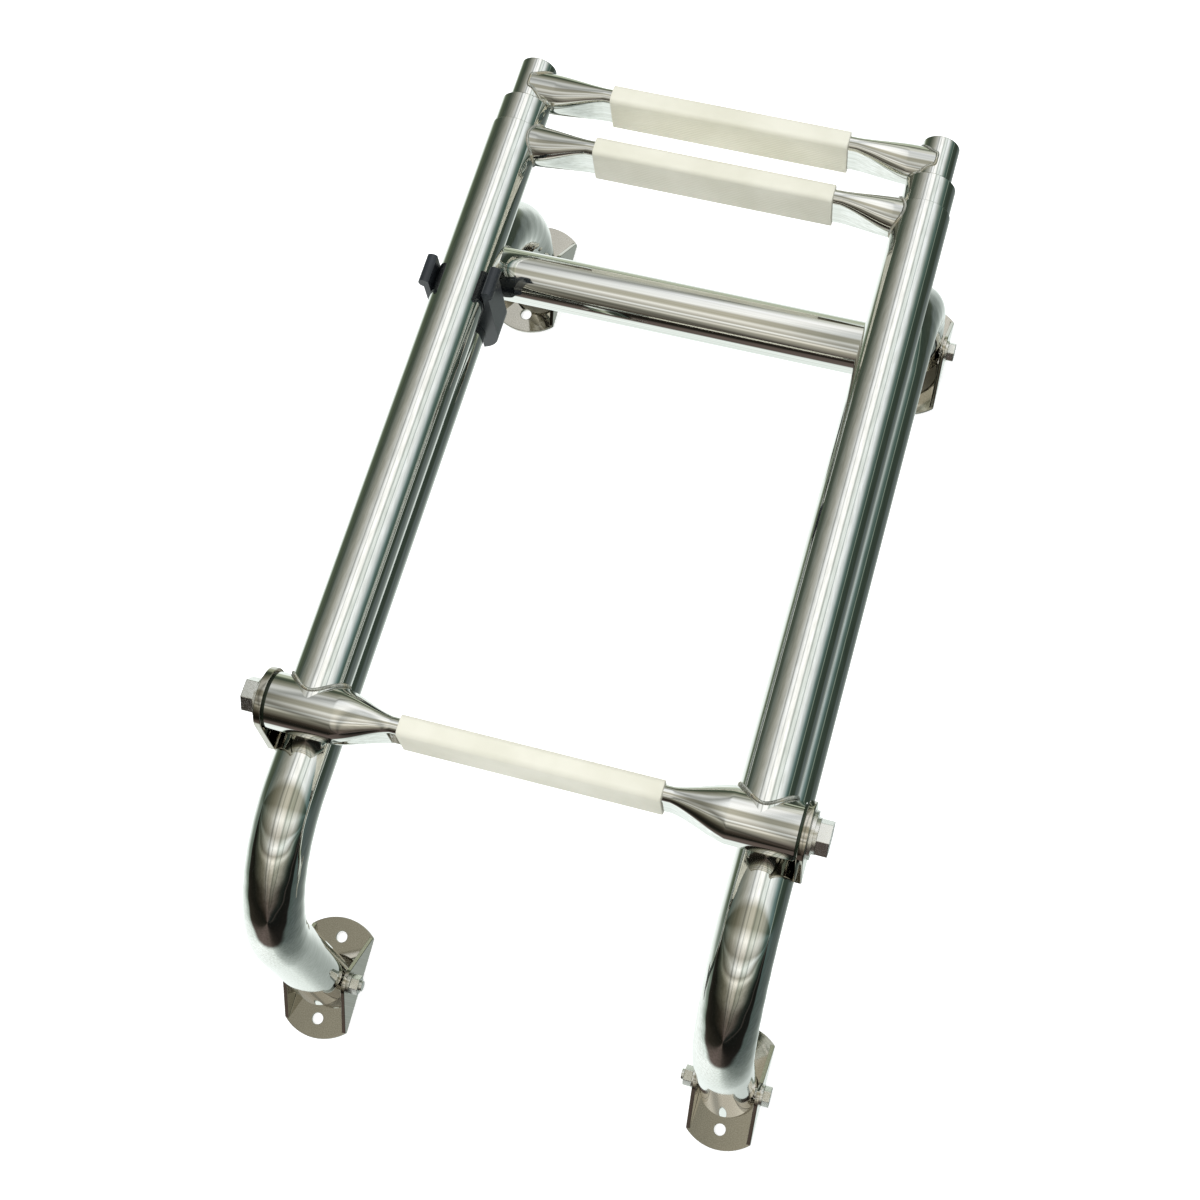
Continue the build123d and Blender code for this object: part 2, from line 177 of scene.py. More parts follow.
def loft_piece(
    name: str, rings: list[list[Vector]], closed: bool, sharp_deg: float = 40.0
) -> Object:
    """Skin a stack of rings that all have the same number of points.

    Args:
        name: The piece's name.
        rings: The rings in order, each a closed loop of points.
        closed: True joins the last ring to the first, otherwise both ends get a face.
        sharp_deg: Edges that bend more than this stay sharp.

    Returns:
        The linked object.
    """
    count = len(rings[0])
    points = [point for ring in rings for point in ring]
    faces: list[tuple[int, ...]] = []
    spans = len(rings) if closed else len(rings) - 1
    for i in range(spans):
        low, high = i * count, (i + 1) % len(rings) * count
        for j in range(count):
            k = (j + 1) % count
            faces.append((low + j, low + k, high + k, high + j))
    if not closed:
        faces.append(tuple(range(count)))
        faces.append(tuple(range((len(rings) - 1) * count, len(rings) * count)))
    return mesh_piece(name, points, faces, sharp_deg)


def rounded_section(
    half_y: float, half_h: float, corner: float, count: int, rib: tuple[float, float] = (1.0, 0.0)
) -> list[tuple[float, float]]:
    """Step evenly round a rounded rectangle, starting on one of its wide faces.

    Args:
        half_y: Half its size along the ladder.
        half_h: Half its size above the ladder.
        corner: Its corner radius.
        count: Number of points.
        rib: Pitch and height of ribs cut in the wide faces.

    Returns:
        Pairs along and above the ladder, in millimetres.
    """
    pitch, height = rib
    flat_h, flat_y, arc = 2 * (half_h - corner), 2 * (half_y - corner), corner * pi / 2
    spans = [flat_h, arc, flat_y, arc] * 2
    total = sum(spans)
    points = []
    for i in range(count):
        run = total * i / count
        span = 0
        while run >= spans[span]:
            run -= spans[span]
            span += 1
        wide = span // 2 % 2 == 0
        flat = flat_h if wide else flat_y
        if span % 2 == 0:
            u, v = half_y if wide else half_h, run - flat / 2
        else:
            angle = run / corner
            u = (half_y if wide else half_h) - corner + corner * cos(angle)
            v = flat / 2 + corner * sin(angle)
        if span % 4 == 0:
            u -= height * (0.5 - 0.5 * cos(2 * pi * v / pitch))
        turn = span // 2 * pi / 2
        points.append((u * cos(turn) - v * sin(turn), u * sin(turn) + v * cos(turn)))
    return points


def bake_modifiers(piece: Object) -> None:
    """Replace a piece's mesh by its evaluated one and drop its modifiers.

    Args:
        piece: The object to settle.
    """
    bpy.context.view_layer.update()
    evaluated = piece.evaluated_get(bpy.context.evaluated_depsgraph_get())
    mesh = bpy.data.meshes.new_from_object(evaluated)
    piece.modifiers.clear()
    piece.data = mesh


def dress(piece: Object, material: Material, body: str, slot: str, *nodes: str) -> None:
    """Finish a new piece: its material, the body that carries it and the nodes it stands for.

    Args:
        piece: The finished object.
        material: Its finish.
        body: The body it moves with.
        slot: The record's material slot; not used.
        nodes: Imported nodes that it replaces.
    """
    piece.data.materials.clear()
    piece.data.materials.append(material)
    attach(piece, body)
    if nodes:
        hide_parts(*nodes)
    LOG.info("%s: %d faces on %s", piece.name, len(piece.data.polygons), body)


def dress_node(node: str, material: Material) -> None:
    """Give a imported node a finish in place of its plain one.

    Args:
        node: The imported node.
        material: Its finish.
    """
    target = frame["nodes"][node]
    target.data.materials.clear()
    target.data.materials.append(material)


def new_material(name: str) -> tuple[Material, NodeTree, Node]:
    """Start a material.

    Args:
        name: The material's name.

    Returns:
        The material, its node tree and its main shader.
    """
    material = bpy.data.materials.new(name)
    material.use_nodes = True
    tree = material.node_tree
    return material, tree, tree.nodes["Principled BSDF"]


def add_noise(
    tree: NodeTree, place: NodeSocket, scale: float, detail: float, roughness: float = 0.5
) -> Node:
    """Add a noise pattern.

    Args:
        tree: The material's node tree.
        place: The coordinates that it is laid on.
        scale: Its features per metre.
        detail: Its finer layers.
        roughness: Strength of the finer layers.

    Returns:
        The noise node.
    """
    settings = {"Scale": scale, "Detail": detail, "Roughness": roughness}
    return add_node(tree, "ShaderNodeTexNoise", settings, {"Vector": place})


def softened(node: str, width_mm: float, segments: int = 2) -> Object:
    """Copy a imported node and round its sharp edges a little.

    Args:
        node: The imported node.
        width_mm: Width of the rounding.
        segments: Steps across the rounding.

    Returns:
        The rounded copy.
    """
    mesh = frame["nodes"][node].data.copy()
    shape = bmesh.new()
    shape.from_mesh(mesh)
    bmesh.ops.remove_doubles(shape, verts=shape.verts, dist=MERGE_MM * MM)
    bmesh.ops.dissolve_limit(
        shape, angle_limit=radians(SAME_PLANE_DEG), verts=shape.verts, edges=shape.edges
    )
    mesh.clear_geometry()
    shape.to_mesh(mesh)
    shape.free()
    mesh.shade_smooth()
    piece = bpy.data.objects.new(f"{node}_formed", mesh)
    bpy.context.scene.collection.objects.link(piece)
    bevel = piece.modifiers.new("rounded_edges", "BEVEL")
    bevel.width = width_mm * MM
    bevel.segments = segments
    bevel.limit_method = "ANGLE"
    bevel.angle_limit = radians(ROUNDED_FROM_DEG)
    flat = piece.modifiers.new("flat_faces", "WEIGHTED_NORMAL")
    flat.weight = FLAT_FACE_WEIGHT
    bake_modifiers(piece)
    return piece


class Side(Enum):
    """The two sides of the ladder, seen from its hinge end."""

    LEFT = ("left", -1)
    RIGHT = ("right", 1)

    @property
    def word(self) -> str:
        """The word that ends a node's name."""
        return self.value[0]

    @property
    def sign(self) -> int:
        """The sign of the side's X."""
        return self.value[1]


class Grain(Enum):
    """The way that a tube was drawn and polished."""

    LADDER = "along the ladder"
    ACROSS = "across the ladder"
    UPRIGHT = "up the legs"


# ---- the leaning ladder frame
@dataclass(frozen=True)
class LadderFrame:
    """The hinge axis and the plane that the ladder leans in, read from the joints."""

    origin: Vector
    along: Vector

    @classmethod
    def from_joints(cls) -> "LadderFrame":
        """Read the hinge's place and the slide's direction.

        Returns:
            The frame.
        """
        joints = {joint["name"]: joint for joint in frame["joints"]}
        hinge = Vector(joints["ladder_fold"]["pos_m"])
        return cls(hinge, Vector(joints["ladder_extend"]["axis"]).normalized())

    @property
    def up(self) -> Vector:
        """Square to the ladder, away from the mounting surface."""
        return Vector((1, 0, 0)).cross(self.along)

    @property
    def lean(self) -> float:
        """Angle between the ladder and the mounting surface, in radians."""
        return atan2(-self.along.z, self.along.y)

    def at(self, x: float, y: float, h: float) -> Vector:
        """Place of a point given across, along and above the ladder, all in millimetres.

        Args:
            x: Distance across from the middle.
            y: Distance along the ladder from the hinge axis.
            h: Height above the ladder's plane.

        Returns:
            The point in metres.
        """
        return self.origin + (Vector((x, 0, 0)) + self.along * y + self.up * h) * MM


# ---- finishes
@dataclass(frozen=True)
class PolishedStainless:
    """AISI 316 tube, drawn and then belt polished to a mirror.

    The mirror shows the room; drawing lines stretch it along the tube, and the belt
    leaves a shallow swell that bends the highlights.
    """

    name: str
    grain: Grain
    lean: float
    shade: str = "D9D9D4"
    colour: str = "E6E6E2"
    bright: str = "F2F2F0"
    roughness: float = 0.035
    line_mm: float = 1.6
    line_length_mm: float = 160.0
    swell_mm: float = 26.0
    swell_height_mm: float = 0.05
    swell_strength: float = 0.5
    line_height_mm: float = 0.02
    line_strength: float = 0.04
    tint_at: tuple[float, float, float] = (0.30, 0.5, 0.72)
    streak_range: tuple[float, float] = (0.3, 0.7)
    gloss_spread: tuple[float, float] = (0.6, 1.9)

    def turn(self) -> Euler:
        """Lay the pattern's own X along the grain.

        Returns:
            The rotation.
        """
        if self.grain is Grain.ACROSS:
            return Euler((0, 0, 0))
        if self.grain is Grain.UPRIGHT:
            return Euler((0, pi / 2, 0))
        return Euler((-self.lean, 0, pi / 2), "XYZ")

    def build(self) -> Material:
        """Make the material.

        Returns:
            The finished material.
        """
        material, tree, shader = new_material(self.name)
        place = add_node(tree, "ShaderNodeTexCoord")
        turning = {"vector_type": "TEXTURE", "Rotation": self.turn()}
        turned = add_node(tree, "ShaderNodeMapping", turning, {"Vector": place.outputs["Object"]})
        fineness = 1 / (self.line_mm * MM)
        stretch = (1 / (self.line_length_mm * MM), fineness, fineness)
        lines = add_node(
            tree, "ShaderNodeMapping", {"Scale": stretch}, {"Vector": turned.outputs["Vector"]}
        )
        streaks = add_noise(tree, lines.outputs["Vector"], 1.0, 3.0, 0.6)
        swell = add_noise(tree, place.outputs["Object"], 1 / (self.swell_mm * MM), 1.0, 0.4)
        stops = list(zip(self.tint_at, (self.shade, self.colour, self.bright)))
        tint = add_ramp(tree, streaks.outputs["Fac"], stops)
        least, most = self.streak_range
        low, high = (self.roughness * share for share in self.gloss_spread)
        spans = {"From Min": least, "From Max": most, "To Min": low, "To Max": high}
        gloss = add_node(tree, "ShaderNodeMapRange", spans, {"Value": streaks.outputs["Fac"]})
        relief = {"Strength": self.line_strength, "Distance": self.line_height_mm * MM}
        fine = add_node(tree, "ShaderNodeBump", relief, {"Height": streaks.outputs["Fac"]})
        wave = add_node(
            tree,
            "ShaderNodeBump",
            {"Strength": self.swell_strength, "Distance": self.swell_height_mm * MM},
            {"Height": swell.outputs["Fac"], "Normal": fine.outputs["Normal"]},
        )
        shader.inputs["Metallic"].default_value = 1.0
        tree.links.new(tint.outputs["Color"], shader.inputs["Base Color"])
        tree.links.new(gloss.outputs["Result"], shader.inputs["Roughness"])
        tree.links.new(wave.outputs["Normal"], shader.inputs["Normal"])
        return material


@dataclass(frozen=True)
class WeldedStainless:
    """TIG bead on stainless, brushed clean: duller than the tube, straw and violet in places."""

    name: str = "tig_welded_stainless"
    tint_mm: float = 9.0
    roughness: float = 0.28
    heat_tints: tuple[tuple[float, str], ...] = (
        (0.34, "B9BAB6"), (0.5, "E4E4E0"), (0.66, "D8CFBA"), (0.76, "C6BEC6"),
    )

    def build(self) -> Material:
        """Make the material.

        Returns:
            The finished material.
        """
        material, tree, shader = new_material(self.name)
        place = add_node(tree, "ShaderNodeTexCoord")
        heat = add_noise(tree, place.outputs["Object"], 1 / (self.tint_mm * MM), 2.0)
        tint = add_ramp(tree, heat.outputs["Fac"], list(self.heat_tints))
        shader.inputs["Metallic"].default_value = 1.0
        shader.inputs["Roughness"].default_value = self.roughness
        tree.links.new(tint.outputs["Color"], shader.inputs["Base Color"])
        return material


@dataclass(frozen=True)
class MouldedPolymer:
    """Injection-moulded polymer with a fine spark texture that takes the edge off its gloss."""

    name: str
    colour: str
    shade: str
    roughness: float
    spark_mm: float = 0.9
    spark_height_mm: float = 0.03
    spark_strength: float = 0.35
    cloud_mm: float = 40.0
    tint_at: tuple[float, float] = (0.35, 0.62)
    gloss_spread: tuple[float, float] = (0.85, 1.2)
    ior: float = 1.48

    def build(self) -> Material:
        """Make the material.

        Returns:
            The finished material.
        """
        material, tree, shader = new_material(self.name)
        place = add_node(tree, "ShaderNodeTexCoord")
        cloud = add_noise(tree, place.outputs["Object"], 1 / (self.cloud_mm * MM), 3.0)
        stops = list(zip(self.tint_at, (self.shade, self.colour)))
        tint = add_ramp(tree, cloud.outputs["Fac"], stops)
        spark = add_noise(tree, place.outputs["Object"], 1 / (self.spark_mm * MM), 2.0)
        relief = {"Strength": self.spark_strength, "Distance": self.spark_height_mm * MM}
        bump = add_node(tree, "ShaderNodeBump", relief, {"Height": spark.outputs["Fac"]})
        low, high = (self.roughness * share for share in self.gloss_spread)
        span = {"To Min": low, "To Max": high}
        gloss = add_node(tree, "ShaderNodeMapRange", span, {"Value": cloud.outputs["Fac"]})
        shader.inputs["IOR"].default_value = self.ior
        tree.links.new(tint.outputs["Color"], shader.inputs["Base Color"])
        tree.links.new(gloss.outputs["Result"], shader.inputs["Roughness"])
        tree.links.new(bump.outputs["Normal"], shader.inputs["Normal"])
        return material


@dataclass
class Finishes:
    """Every material of the ladder, made once."""

    lean: float
    along: Material = field(init=False)
    across: Material = field(init=False)
    upright: Material = field(init=False)
    bright: Material = field(init=False)
    weld: Material = field(init=False)
    tread: Material = field(init=False)
    clip: Material = field(init=False)
    bush: Material = field(init=False)
    nylon: Material = field(init=False)

    def __post_init__(self) -> None:
        """Make the materials."""
        self.along = PolishedStainless(
            "polished_316_tube_along", Grain.LADDER, self.lean
        ).build()
        self.across = PolishedStainless(
            "polished_316_tube_across", Grain.ACROSS, self.lean
        ).build()
        # Pressed sheet for the plates and ears: its base colours are set darker than the tube's.
        # This is painted shade that darkens the plates' top faces; the streaks within it stay
        # grain.
        self.upright = PolishedStainless(
            "pressed_316_sheet_painted_shade",
            Grain.UPRIGHT,
            self.lean,
            shade="B2AEA4",
            colour="C0BCB2",
            bright="CECAC2",
            swell_mm=14.0,
            line_mm=0.9,
        ).build()
        self.bright = PolishedStainless(
            "machined_316_bar",
            Grain.UPRIGHT,
            self.lean,
            shade="D6D4CC",
            roughness=0.2,
            swell_height_mm=0.02,
            line_mm=0.7,
        ).build()
        self.weld = WeldedStainless().build()
        self.tread = MouldedPolymer("moulded_abs_tread", "E4E2D2", "DAD8C6", 0.38).build()
        self.clip = MouldedPolymer("moulded_black_acetal", "2A2E33", "1D2024", 0.34).build()
        self.bush = MouldedPolymer("machined_dark_nylon", "22301F", "141B14", 0.30).build()
        self.nylon = MouldedPolymer("natural_nylon_6", "DAD8CC", "CFCDBF", 0.45).build()


# ---- bent base tubes
@dataclass
class BaseTubes:
    """The two bent tubes, with the faint ripple that a bending die leaves."""

    ladder: LadderFrame
    material: Material
    radius: float = TUBES.base_radius
    drop: float = TUBES.base_drop
    lower_leg: float = -128.5
    upper_leg: float = 446.5
    lower_bend: float = 88.0
    upper_bend: float = 100.0
    end_past_pivot: float = 10.0
    ripple: float = 0.16
    ripple_pitch: float = 15.0
    ripple_all_round: float = 0.35
    around: int = 96
    straight_step: float = 12.0
    bend_steps: int = 56

    def stations(self, side: Side) -> list[tuple[Vector, Vector, float]]:
        """Walk along the tube's centre line.

        Args:
            side: Which tube.

        Returns:
            For each station its centre, its outward direction in the bend's plane and the
            height of the ripple there.
        """
        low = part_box(f"pivot_bolt_lower_{side.word}")
        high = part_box(f"pivot_bolt_upper_{side.word}")
        low_end = self.depth(low) + self.end_past_pivot
        high_end = self.depth(high) + self.end_past_pivot
        x = side.sign * TUBES.base_x
        walk: list[tuple[Vector, Vector, float]] = []

        def straight(
            start: tuple[float, float], end: tuple[float, float], out: Vector
        ) -> None:
            """Walk a straight run from start up to its end, with out as its outward side."""
            length = sqrt((end[0] - start[0]) ** 2 + (end[1] - start[1]) ** 2)
            steps = max(2, int(length / self.straight_step))
            for i in range(steps):
                t = i / steps
                y = start[0] + (end[0] - start[0]) * t
                h = start[1] + (end[1] - start[1]) * t
                walk.append((self.ladder.at(x, y, h), out, 0.0))

        def bend(centre: tuple[float, float], radius: float, first: float) -> None:
            """Walk a quarter turn about centre, from the angle first towards the far end."""
            for i in range(self.bend_steps):
                t = i / self.bend_steps
                angle = first - t * pi / 2
                out = self.ladder.along * cos(angle) + self.ladder.up * sin(angle)
                place = (centre[0] + radius * cos(angle), centre[1] + radius * sin(angle))
                rise = sin(pi * t) * sin(2 * pi * t * radius * pi / 2 / self.ripple_pitch)
                walk.append((self.ladder.at(x, *place), out, self.ripple * rise))

        lower = (self.lower_leg + self.lower_bend, -self.drop - self.lower_bend)
        upper = (self.upper_leg - self.upper_bend, -self.drop - self.upper_bend)
        straight((self.lower_leg, -low_end), (self.lower_leg, lower[1]), -self.ladder.along)
        bend(lower, self.lower_bend, pi)
        straight((lower[0], -self.drop), (upper[0], -self.drop), self.ladder.up)
        bend(upper, self.upper_bend, pi / 2)
        straight((self.upper_leg, upper[1]), (self.upper_leg, -high_end), self.ladder.along)
        walk.append((self.ladder.at(x, self.upper_leg, -high_end), self.ladder.along, 0.0))
        return walk

    def depth(self, box: tuple[Vector, Vector]) -> float:
        """How far a bolt lies below the ladder's plane, in millimetres."""
        centre = (box[0] + box[1]) / 2
        return -(centre - self.ladder.origin).dot(self.ladder.up) / MM

    def build(self, side: Side) -> Object:
        """Make one tube as a closed shell with a wall.

        Args:
            side: Which tube.

        Returns:
            The tube.
        """
        walk = self.stations(side)
        sideways = Vector((1, 0, 0))

        def ring(
            station: tuple[Vector, Vector, float], radius: float, share: float
        ) -> list[Vector]:
            """Points round one station, with a share of the ripple on its inner side."""
            centre, out, rise = station
            points = []
            for j in range(self.around):
                angle = 2 * pi * j / self.around
                inner_side = max(0.0, -cos(angle)) ** 2 + self.ripple_all_round
                local = radius + rise * share * inner_side
                points.append(centre + (out * cos(angle) + sideways * sin(angle)) * local * MM)
            return points

        outer = [ring(station, self.radius, 1.0) for station in walk]
        inner = [ring(station, self.radius - TUBES.wall, 0.0) for station in walk]
        return loft_piece(f"bent_tube_{side.word}", outer + inner[::-1], True)

    def dress_all(self) -> None:
        """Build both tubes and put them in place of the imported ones."""
        for side in Side:
            tube, node = self.build(side), f"base_tube_{side.word}"
            dress(tube, self.material, "base_frame", "polished_stainless", node)


# ---- rungs
@dataclass
class Rungs:
    """Tubes pressed flat in the middle, with the soft shoulders that a press leaves."""

    ladder: LadderFrame
    material: Material
    round_half: float = 131.0
    flat_half: float = 93.0
    flat: tuple[float, float] = (11.5, 31.5)
    around: int = 96
    shoulder_steps: int = 20
    straight_share: float = 0.55
    sink: float = 0.7
    section_slack: float = 0.02

    def section(self, radius: float, squash: float, inset: float) -> list[tuple[float, float]]:
        """Points round the rung where it has been pressed by a share of the way.

        Args:
            radius: Radius of the tube before pressing.
            squash: 0 where it is round, 1 where it is flat.
            inset: Depth under the outer surface.

        Returns:
            Pairs along and above the ladder, in millimetres.
        """
        half_y = radius + (self.flat[0] / 2 - radius) * squash - inset
        half_h = radius + (self.flat[1] / 2 - radius) * squash - inset
        slack = self.section_slack
        return rounded_section(half_y, half_h + slack, half_y - slack, self.around)

    def stations(self) -> list[tuple[float, float]]:
        """Step across the rung from left to right.

        Returns:
            Places across, each with how far the rung is pressed there.
        """
        half = []
        for i in range(self.shoulder_steps + 1):
            t = i / self.shoulder_steps
            soft = t * t * (3 - 2 * t)
            squash = t * self.straight_share + soft * (1 - self.straight_share)
            half.append((-self.round_half + (self.round_half - self.flat_half) * t, squash))
        return half + [(-x, squash) for x, squash in reversed(half)]

    def build(
        self, name: str, y: float, radius: float, half: float, large: float
    ) -> Object:
        """Make one rung as a shell with a wall.

        Args:
            name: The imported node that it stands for.
            y: Its place along the ladder.
            radius: Its radius at the ends.
            half: Half its length.
            large: Radius of the side tubes that its ends fit round, or 0 for square ends.

        Returns:
            The rung.
        """

        def ring(x: float, squash: float, inset: float) -> list[Vector]:
            """Points round the rung at x, pressed by squash and set in by inset."""
            pairs = self.section(radius, squash, inset)
            return [self.ladder.at(x, y + along, h) for along, h in pairs]

        def end_ring(sign: int, inset: float) -> list[Vector]:
            """Points round one end, cut to fit the side tube that it meets."""
            points = []
            for along, h in self.section(radius, 0.0, inset):
                rise = min(abs(h), large)
                reach = half - sqrt(large**2 - rise**2) if large else half
                points.append(self.ladder.at(sign * reach, y + along, h))
            return points

        outer = [ring(x, squash, 0.0) for x, squash in self.stations()]
        inner = [ring(x, squash, TUBES.wall) for x, squash in self.stations()]
        outer = [end_ring(-1, 0.0)] + outer + [end_ring(1, 0.0)]
        inner = [end_ring(-1, TUBES.wall)] + inner + [end_ring(1, TUBES.wall)]
        return loft_piece(f"pressed_{name}", outer + inner[::-1], True)

    def dress_all(self) -> None:
        """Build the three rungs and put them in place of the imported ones."""
        large, small, reach = TUBES.side_radius, TUBES.rung_radius, TUBES.side_x
        seat_2, seat_3 = large - self.sink, TUBES.inner_radius - self.sink
        sizes = {
            "hinge_rung": ("ladder_outer", 0.0, large, TUBES.hinge_rung_half, 0.0),
            "rung_2": ("ladder_outer", TUBES.rung_2_y, small, reach, seat_2),
            "rung_3": ("ladder_inner", TUBES.rung_3_y, small, reach, seat_3),
        }
        for name, (body, y, radius, half, seat) in sizes.items():
            piece = self.build(name, y, radius, half, seat)
            dress(piece, self.material, body, "polished_stainless", name)


# ---- treads
@dataclass
class Treads:
    """Moulded sleeves with fine ribs along their faces."""

    ladder: LadderFrame
    material: Material
    length: float = 175.0
    thickness: float = 15.0
    height: float = 34.8
    corner: float = 4.0
    slot_thickness: float = 11.8
    slot_height: float = 31.8
    rib_pitch: float = 2.1
    rib_height: float = 0.28
    slot_slack: float = 0.05
    end_round: float = 0.7
    ease_share: float = 0.3
    sharp_deg: float = 50.0
    around: int = 240

    def outline(self, inset: float) -> list[tuple[float, float]]:
        """Points round the sleeve's ribbed section.

        Args:
            inset: How far inside the full section the outline lies.

        Returns:
            Pairs along and above the ladder, in millimetres.
        """
        corner = self.corner - inset
        rib = (self.rib_pitch, self.rib_height)
        half_y, half_h = self.thickness / 2 - inset, self.height / 2 - inset
        return rounded_section(half_y, half_h, corner, self.around, rib)

    def build(self, number: int) -> Object:
        """Make one tread.

        Args:
            number: 1 for the hinge rung's tread, up to 3.

        Returns:
            The tread.
        """
        low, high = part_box(f"tread_{number}")
        centre = (low + high) / 2
        half = self.length / 2

        def ring(x: float, section: list[tuple[float, float]]) -> list[Vector]:
            """Points of one section at x from the tread's middle."""
            across, along, up = Vector((x, 0, 0)), self.ladder.along, self.ladder.up
            return [centre + (across + along * y + up * h) * MM for y, h in section]

        slot_half = self.slot_thickness / 2
        slot = rounded_section(
            slot_half, self.slot_height / 2, slot_half - self.slot_slack, self.around
        )
        ease = self.end_round * self.ease_share
        steps = [
            (0.0, self.outline(self.end_round)),
            (ease, self.outline(ease)),
            (self.end_round, self.outline(0.0)),
        ]
        rings = [ring(-half + step, section) for step, section in steps]
        rings += [ring(half - step, section) for step, section in reversed(steps)]
        rings += [ring(half, slot), ring(-half, slot)]
        return loft_piece(f"ribbed_tread_{number}", rings, True, self.sharp_deg)

    def dress_all(self) -> None:
        """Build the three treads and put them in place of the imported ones."""
        for number, body in ((1, "ladder_outer"), (2, "ladder_outer"), (3, "ladder_inner")):
            tread, node = self.build(number), f"tread_{number}"
            dress(tread, self.material, body, "tread_polymer", node)


# ---- weld beads
@dataclass
class WeldBeads:
    """Overlapping ripples along each seam, placed by Geometry Nodes."""

    material: Material
    ripple_pitch: float = 0.9
    ripple_size: float = 1.35
    ripple_around: int = 8
    ripple_rings: int = 5
    ripple_spread: tuple[float, float] = (0.85, 1.12)
    ripple_height: float = 0.62
    seed: int = 7
    tree: NodeTree = field(init=False)

    def __post_init__(self) -> None:
        """Build the node tree once."""
        self.tree = self.make_tree()

    def make_tree(self) -> NodeTree:
        """Make the tree that sets flattened ripples along a seam.

        Returns:
            The node tree, with inputs Pitch, Ripple and Finish.
        """
        tree = bpy.data.node_groups.new("weld_ripples", "GeometryNodeTree")
        face = tree.interface
        face.new_socket("Geometry", in_out="INPUT", socket_type="NodeSocketGeometry")
        for name, size in (("Pitch", self.ripple_pitch), ("Ripple", self.ripple_size)):
            socket = face.new_socket(name, in_out="INPUT", socket_type="NodeSocketFloat")
            socket.default_value = size * MM
        face.new_socket("Finish", in_out="INPUT", socket_type="NodeSocketMaterial")
        face.new_socket("Geometry", in_out="OUTPUT", socket_type="NodeSocketGeometry")
        given = add_node(tree, "NodeGroupInput")
        seam = add_node(
            tree, "GeometryNodeMeshToCurve", None, {"Mesh": given.outputs["Geometry"]}
        )
        spots = add_node(
            tree,
            "GeometryNodeCurveToPoints",
            {"mode": "LENGTH"},
            {"Curve": seam.outputs["Curve"], "Length": given.outputs["Pitch"]},
        )
        ripple = add_node(
            tree,
            "GeometryNodeMeshUVSphere",
            {"Segments": self.ripple_around, "Rings": self.ripple_rings},
            {"Radius": given.outputs["Ripple"]},
        )
        least, most = self.ripple_spread
        size = add_node(
            tree,
            "FunctionNodeRandomValue",
            {"data_type": "FLOAT", 2: least, 3: most, "Seed": self.seed},
        )
        heights = {"Y": 1.0, "Z": self.ripple_height}
        squeeze = add_node(tree, "ShaderNodeCombineXYZ", heights, {"X": size.outputs[1]})
        placed = add_node(
            tree,
            "GeometryNodeInstanceOnPoints",
            None,
            {
                "Points": spots.outputs["Points"],
                "Instance": ripple.outputs["Mesh"],
                "Rotation": spots.outputs["Rotation"],
                "Scale": squeeze.outputs["Vector"],
            },
        )
        solid = add_node(
            tree, "GeometryNodeRealizeInstances", None, {"Geometry": placed.outputs["Instances"]}
        )
        smooth = add_node(
            tree, "GeometryNodeSetShadeSmooth", None, {"Geometry": solid.outputs["Geometry"]}
        )
        finish = add_node(
            tree,
            "GeometryNodeSetMaterial",
            None,
            {"Geometry": smooth.outputs["Geometry"], "Material": given.outputs["Finish"]},
        )
        add_node(tree, "NodeGroupOutput", None, {"Geometry": finish.outputs["Geometry"]})
        return tree

    def run(
        self, name: str, seams: list[list[Vector]], closed: bool, body: str, share: float = 1.0
    ) -> None:
        """Lay beads along seams and dress them.

        Args:
            name: The piece's name.
            seams: Each seam as a row of points in metres.
            closed: True where each seam is a loop.
            body: The body that carries the beads.
            share: Size of these beads against the usual size.
        """
        points: list[Vector] = []
        edges: list[tuple[int, int]] = []
        for seam in seams:
            first = len(points)
            points.extend(seam)
            count = len(seam)
            last = count if closed else count - 1
            edges.extend((first + i, first + (i + 1) % count) for i in range(last))
        mesh = bpy.data.meshes.new(name)
        mesh.from_pydata([tuple(p) for p in points], edges, [])
        piece = bpy.data.objects.new(name, mesh)
        bpy.context.scene.collection.objects.link(piece)
        modifier = piece.modifiers.new("ripples", "NODES")
        modifier.node_group = self.tree
        values = {
            "Pitch": self.ripple_pitch * share * MM,
            "Ripple": self.ripple_size * share * MM,
            "Finish": self.material,
        }
        for item in self.tree.interface.items_tree:
            if item.in_out == "INPUT" and item.name in values:
                modifier[item.identifier] = values[item.name]
        bake_modifiers(piece)
        dress(piece, self.material, body, "polished_stainless")


